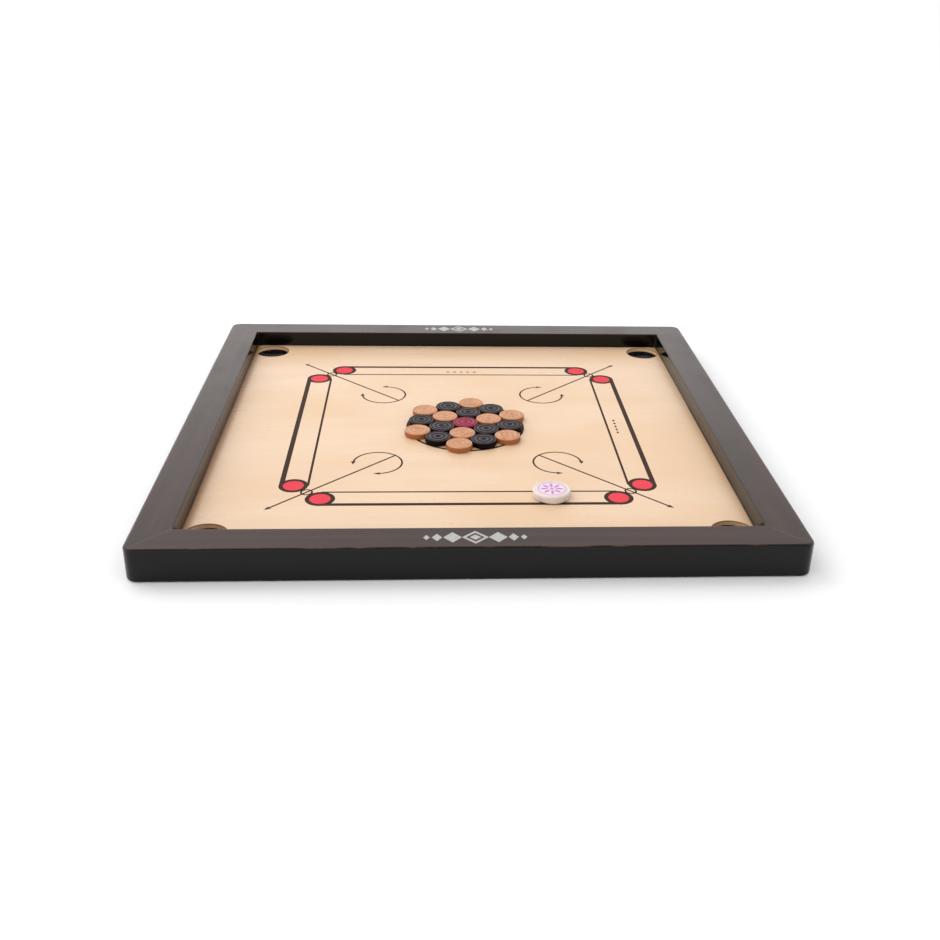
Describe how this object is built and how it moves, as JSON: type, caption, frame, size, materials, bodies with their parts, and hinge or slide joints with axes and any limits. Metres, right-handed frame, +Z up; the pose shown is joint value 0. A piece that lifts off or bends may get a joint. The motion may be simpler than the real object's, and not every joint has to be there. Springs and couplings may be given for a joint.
{
  "type": "carrom board",
  "caption": "Square carrom board with mitred dark rails, a pale panel with a netted pocket in each corner, and its light and black men, red queen and striker.",
  "frame": {"origin": "middle of the board's square outline, on the plane that its rails rest on", "axes": "+X to the striking player's right, +Y away from that player, +Z up out of the playing surface"},
  "size_m": [0.66, 0.66, 0.036],
  "materials": {
    "rail_lacquer": "satin black-brown lacquer over wood",
    "birch_panel": "polished pale plywood with printed markings",
    "beech_spline": "bare beech",
    "pine_batten": "bare sawn pine",
    "plate_steel": "zinc plated",
    "screw_steel": "zinc plated",
    "ring_plastic": "moulded, matt black",
    "net_cord": "knotted black nylon cord",
    "light_wood": "turned, waxed light wood",
    "black_wood": "turned, black stained wood",
    "red_wood": "turned, red stained wood",
    "striker_acrylic": "polished pale acrylic"
  },
  "bodies": {
    "board": {"playing_surface": "birch_panel", "rail_front": "rail_lacquer", "rail_back": "rail_lacquer", "rail_left": "rail_lacquer", "rail_right": "rail_lacquer", "mitre_spline_front_left": "beech_spline", "corner_plate_front_left": "plate_steel", "pocket_ring_front_left": "ring_plastic", "pocket_net_front_left": "net_cord", "mitre_spline_front_right": "beech_spline", "corner_plate_front_right": "plate_steel", "pocket_ring_front_right": "ring_plastic", "pocket_net_front_right": "net_cord", "mitre_spline_back_left": "beech_spline", "corner_plate_back_left": "plate_steel", "pocket_ring_back_left": "ring_plastic", "pocket_net_back_left": "net_cord", "mitre_spline_back_right": "beech_spline", "corner_plate_back_right": "plate_steel", "pocket_ring_back_right": "ring_plastic", "pocket_net_back_right": "net_cord", "batten_x_front": "pine_batten", "batten_x_back": "pine_batten", "batten_y_left": "pine_batten", "batten_y_right": "pine_batten", "corner_plate_screws": "screw_steel", "batten_end_screws": "screw_steel", "batten_crossing_screws": "screw_steel", "panel_screws": "screw_steel", "pocket_ring_screws": "screw_steel"},
    "white_man_1": {"white_man_1": "light_wood"},
    "white_man_2": {"white_man_2": "light_wood"},
    "white_man_3": {"white_man_3": "light_wood"},
    "white_man_4": {"white_man_4": "light_wood"},
    "white_man_5": {"white_man_5": "light_wood"},
    "white_man_6": {"white_man_6": "light_wood"},
    "white_man_7": {"white_man_7": "light_wood"},
    "white_man_8": {"white_man_8": "light_wood"},
    "white_man_9": {"white_man_9": "light_wood"},
    "black_man_1": {"black_man_1": "black_wood"},
    "black_man_2": {"black_man_2": "black_wood"},
    "black_man_3": {"black_man_3": "black_wood"},
    "black_man_4": {"black_man_4": "black_wood"},
    "black_man_5": {"black_man_5": "black_wood"},
    "black_man_6": {"black_man_6": "black_wood"},
    "black_man_7": {"black_man_7": "black_wood"},
    "black_man_8": {"black_man_8": "black_wood"},
    "black_man_9": {"black_man_9": "black_wood"},
    "queen": {"queen": "red_wood"},
    "striker": {"striker": "striker_acrylic"}
  },
  "joints": [
    {"name": "white_man_1_lift", "type": "slide", "parent": "board", "child": "white_man_1", "axis": [0, 0, 1], "range_m": [0, 0.05]},
    {"name": "white_man_2_lift", "type": "slide", "parent": "board", "child": "white_man_2", "axis": [0, 0, 1], "range_m": [0, 0.05]},
    {"name": "white_man_3_lift", "type": "slide", "parent": "board", "child": "white_man_3", "axis": [0, 0, 1], "range_m": [0, 0.05]},
    {"name": "white_man_4_lift", "type": "slide", "parent": "board", "child": "white_man_4", "axis": [0, 0, 1], "range_m": [0, 0.05]},
    {"name": "white_man_5_lift", "type": "slide", "parent": "board", "child": "white_man_5", "axis": [0, 0, 1], "range_m": [0, 0.05]},
    {"name": "white_man_6_lift", "type": "slide", "parent": "board", "child": "white_man_6", "axis": [0, 0, 1], "range_m": [0, 0.05]},
    {"name": "white_man_7_lift", "type": "slide", "parent": "board", "child": "white_man_7", "axis": [0, 0, 1], "range_m": [0, 0.05]},
    {"name": "white_man_8_lift", "type": "slide", "parent": "board", "child": "white_man_8", "axis": [0, 0, 1], "range_m": [0, 0.05]},
    {"name": "white_man_9_lift", "type": "slide", "parent": "board", "child": "white_man_9", "axis": [0, 0, 1], "range_m": [0, 0.05]},
    {"name": "black_man_1_lift", "type": "slide", "parent": "board", "child": "black_man_1", "axis": [0, 0, 1], "range_m": [0, 0.05]},
    {"name": "black_man_2_lift", "type": "slide", "parent": "board", "child": "black_man_2", "axis": [0, 0, 1], "range_m": [0, 0.05]},
    {"name": "black_man_3_lift", "type": "slide", "parent": "board", "child": "black_man_3", "axis": [0, 0, 1], "range_m": [0, 0.05]},
    {"name": "black_man_4_lift", "type": "slide", "parent": "board", "child": "black_man_4", "axis": [0, 0, 1], "range_m": [0, 0.05]},
    {"name": "black_man_5_lift", "type": "slide", "parent": "board", "child": "black_man_5", "axis": [0, 0, 1], "range_m": [0, 0.05]},
    {"name": "black_man_6_lift", "type": "slide", "parent": "board", "child": "black_man_6", "axis": [0, 0, 1], "range_m": [0, 0.05]},
    {"name": "black_man_7_lift", "type": "slide", "parent": "board", "child": "black_man_7", "axis": [0, 0, 1], "range_m": [0, 0.05]},
    {"name": "black_man_8_lift", "type": "slide", "parent": "board", "child": "black_man_8", "axis": [0, 0, 1], "range_m": [0, 0.05]},
    {"name": "black_man_9_lift", "type": "slide", "parent": "board", "child": "black_man_9", "axis": [0, 0, 1], "range_m": [0, 0.05]},
    {"name": "queen_lift", "type": "slide", "parent": "board", "child": "queen", "axis": [0, 0, 1], "range_m": [0, 0.05]},
    {"name": "striker_slide", "type": "slide", "parent": "board", "child": "striker", "axis": [1, 0, 0], "range_m": [-0.2464, 0.0724]}
  ]
}
